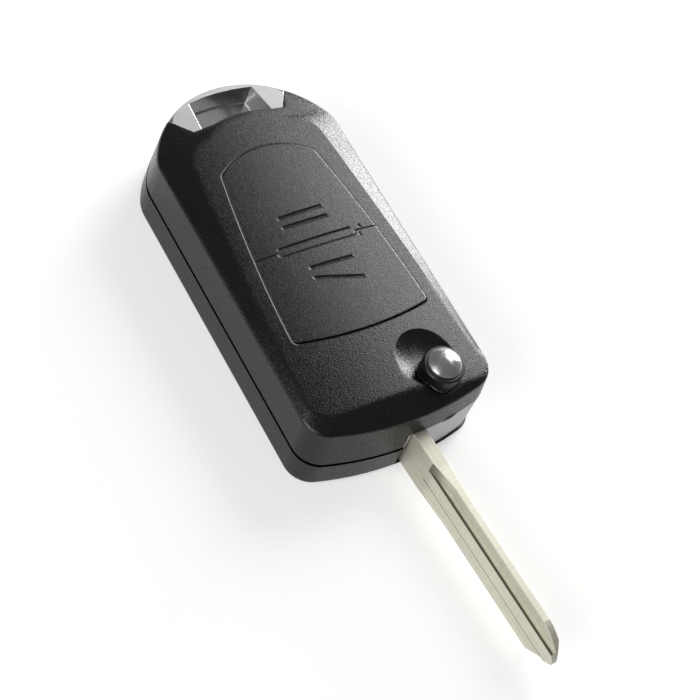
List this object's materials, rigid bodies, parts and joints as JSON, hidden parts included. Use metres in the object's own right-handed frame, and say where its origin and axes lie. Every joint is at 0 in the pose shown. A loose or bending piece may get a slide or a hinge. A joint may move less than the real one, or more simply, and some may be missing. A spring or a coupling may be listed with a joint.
{
  "type": "flip key remote shell",
  "caption": "Car key remote shell with a swing-out uncut blade, rocker-like key pad, release button and chrome arch for a key ring.",
  "frame": {"origin": "on the flat back face that the shell rests on, under the middle of the case", "axes": "+X to the right across the case, +Y along the case towards the key-ring window, +Z out of the front face that carries the keys"},
  "size_m": [0.0376, 0.1194, 0.0206],
  "materials": {
    "case_plastic": "fine moulded grain",
    "key_plastic": "fine moulded grain",
    "membrane_rubber": "soft matt rubber",
    "tray_plastic": "plain moulded",
    "screw_steel": "zinc plated",
    "arch_chrome": "polished",
    "head_metal": "satin silver coat on a die casting",
    "blade_nickel": "nickel plated, fine milling lines",
    "pin_steel": "ground",
    "spring_steel": "drawn wire",
    "button_plastic": "smooth black",
    "cap_chrome": "polished"
  },
  "bodies": {
    "case": {"front_cover": "case_plastic", "back_cover": "case_plastic", "keyring_arch": "arch_chrome", "keypad_membrane": "membrane_rubber", "board_tray": "tray_plastic", "tray_screws": "screw_steel", "pivot_washer": "screw_steel"},
    "flip": {"flip_head": "head_metal", "key_blade": "blade_nickel", "blade_pin": "pin_steel", "flip_spring": "spring_steel"},
    "release": {"release_button": "button_plastic", "release_cap": "cap_chrome"},
    "lock": {"lock_key": "key_plastic"},
    "unlock": {"unlock_key": "key_plastic"}
  },
  "joints": [
    {"name": "blade_flip", "type": "hinge", "parent": "case", "child": "flip", "pos_m": [0.0083, -0.0302, 0.0056], "axis": [0, 0, 1], "range_deg": [0, 178], "stiffness_Nm_per_rad": 0.006, "springref_deg": -68.75},
    {"name": "release_press", "type": "slide", "parent": "flip", "child": "release", "axis": [0, 0, -1], "range_m": [0, 0.0018], "stiffness_N_per_m": 900, "springref_m": -0.001, "deforming": ["flip_spring"]},
    {"name": "lock_press", "type": "slide", "parent": "case", "child": "lock", "axis": [0, 0, -1], "range_m": [0, 0.0004], "stiffness_N_per_m": 1500, "springref_m": -0.0004},
    {"name": "unlock_press", "type": "slide", "parent": "case", "child": "unlock", "axis": [0, 0, -1], "range_m": [0, 0.0004], "stiffness_N_per_m": 1500, "springref_m": -0.0004}
  ]
}
